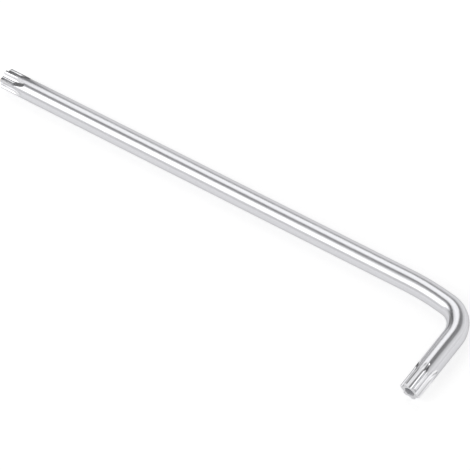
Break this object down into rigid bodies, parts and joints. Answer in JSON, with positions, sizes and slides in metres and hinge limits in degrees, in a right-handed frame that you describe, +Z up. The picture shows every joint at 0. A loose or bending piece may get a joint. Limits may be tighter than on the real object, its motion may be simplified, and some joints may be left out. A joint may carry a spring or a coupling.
{
  "type": "star key",
  "caption": "L-shaped hand key of round plated steel bar with a six-lobe star formed on each end; the short arm's star has a pin hole.",
  "frame": {"origin": "on the table under the middle of the key's box, with the key lying flat", "axes": "+X along the long arm towards the bend, the short arm points to -Y, +Z up from the table"},
  "size_m": [0.119, 0.024, 0.0045],
  "materials": {
    "plated_steel": "satin nickel-chrome plating over steel, with fine drawing marks along the bar"
  },
  "bodies": {
    "root": {"long_star_tip": "plated_steel", "long_arm": "plated_steel", "bend_lead_in": "plated_steel", "bend": "plated_steel", "short_arm": "plated_steel", "short_star_tip": "plated_steel"}
  },
  "joints": []
}
